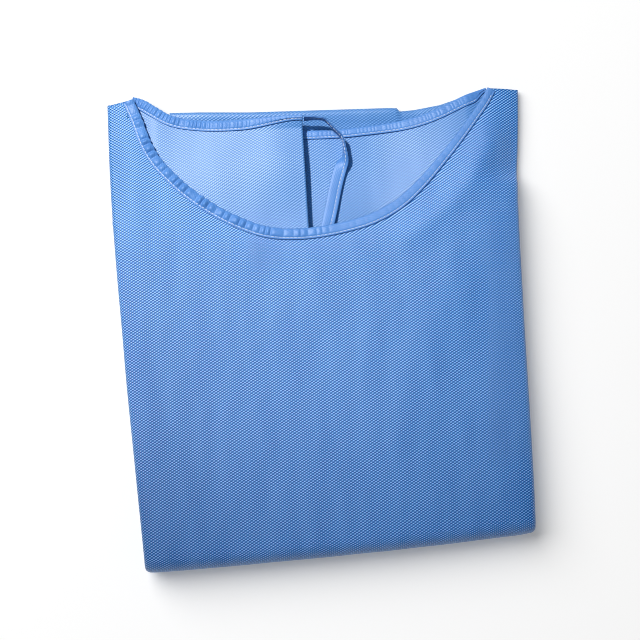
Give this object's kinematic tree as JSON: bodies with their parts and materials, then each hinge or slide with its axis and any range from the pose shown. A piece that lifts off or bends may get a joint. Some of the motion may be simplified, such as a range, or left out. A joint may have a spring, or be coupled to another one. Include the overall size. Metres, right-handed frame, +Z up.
{
  "type": "folded surgical gown",
  "caption": "Folded disposable gown of embossed non-woven cloth, lying front up, with a bound scoop neck, lapped back panels and a neck tie.",
  "frame": {"origin": "centre of the bounding box, on the plane that the gown lies on", "axes": "+Z up from the surface, +Y toward the neck end, +X to the right when the neck is at the top and the front faces up"},
  "size_m": [0.3055, 0.3513, 0.0263],
  "materials": {
    "cloth_front": "matt light blue non-woven with a fine dot emboss",
    "cloth_inside": "matt light blue non-woven, inner face",
    "cloth_layers": "matt light blue non-woven, folded edges",
    "neck_tape": "light blue non-woven tape, folded and stitched"
  },
  "bodies": {
    "root": {"front_panel": "cloth_front", "back_panel_left": "cloth_inside", "back_panel_right": "cloth_inside", "sleeve_fold": "cloth_inside", "folded_layers": "cloth_layers", "neck_binding_front": "neck_tape", "neck_binding_back_left": "neck_tape", "neck_binding_back_right": "neck_tape", "neck_tie": "neck_tape"}
  },
  "joints": []
}
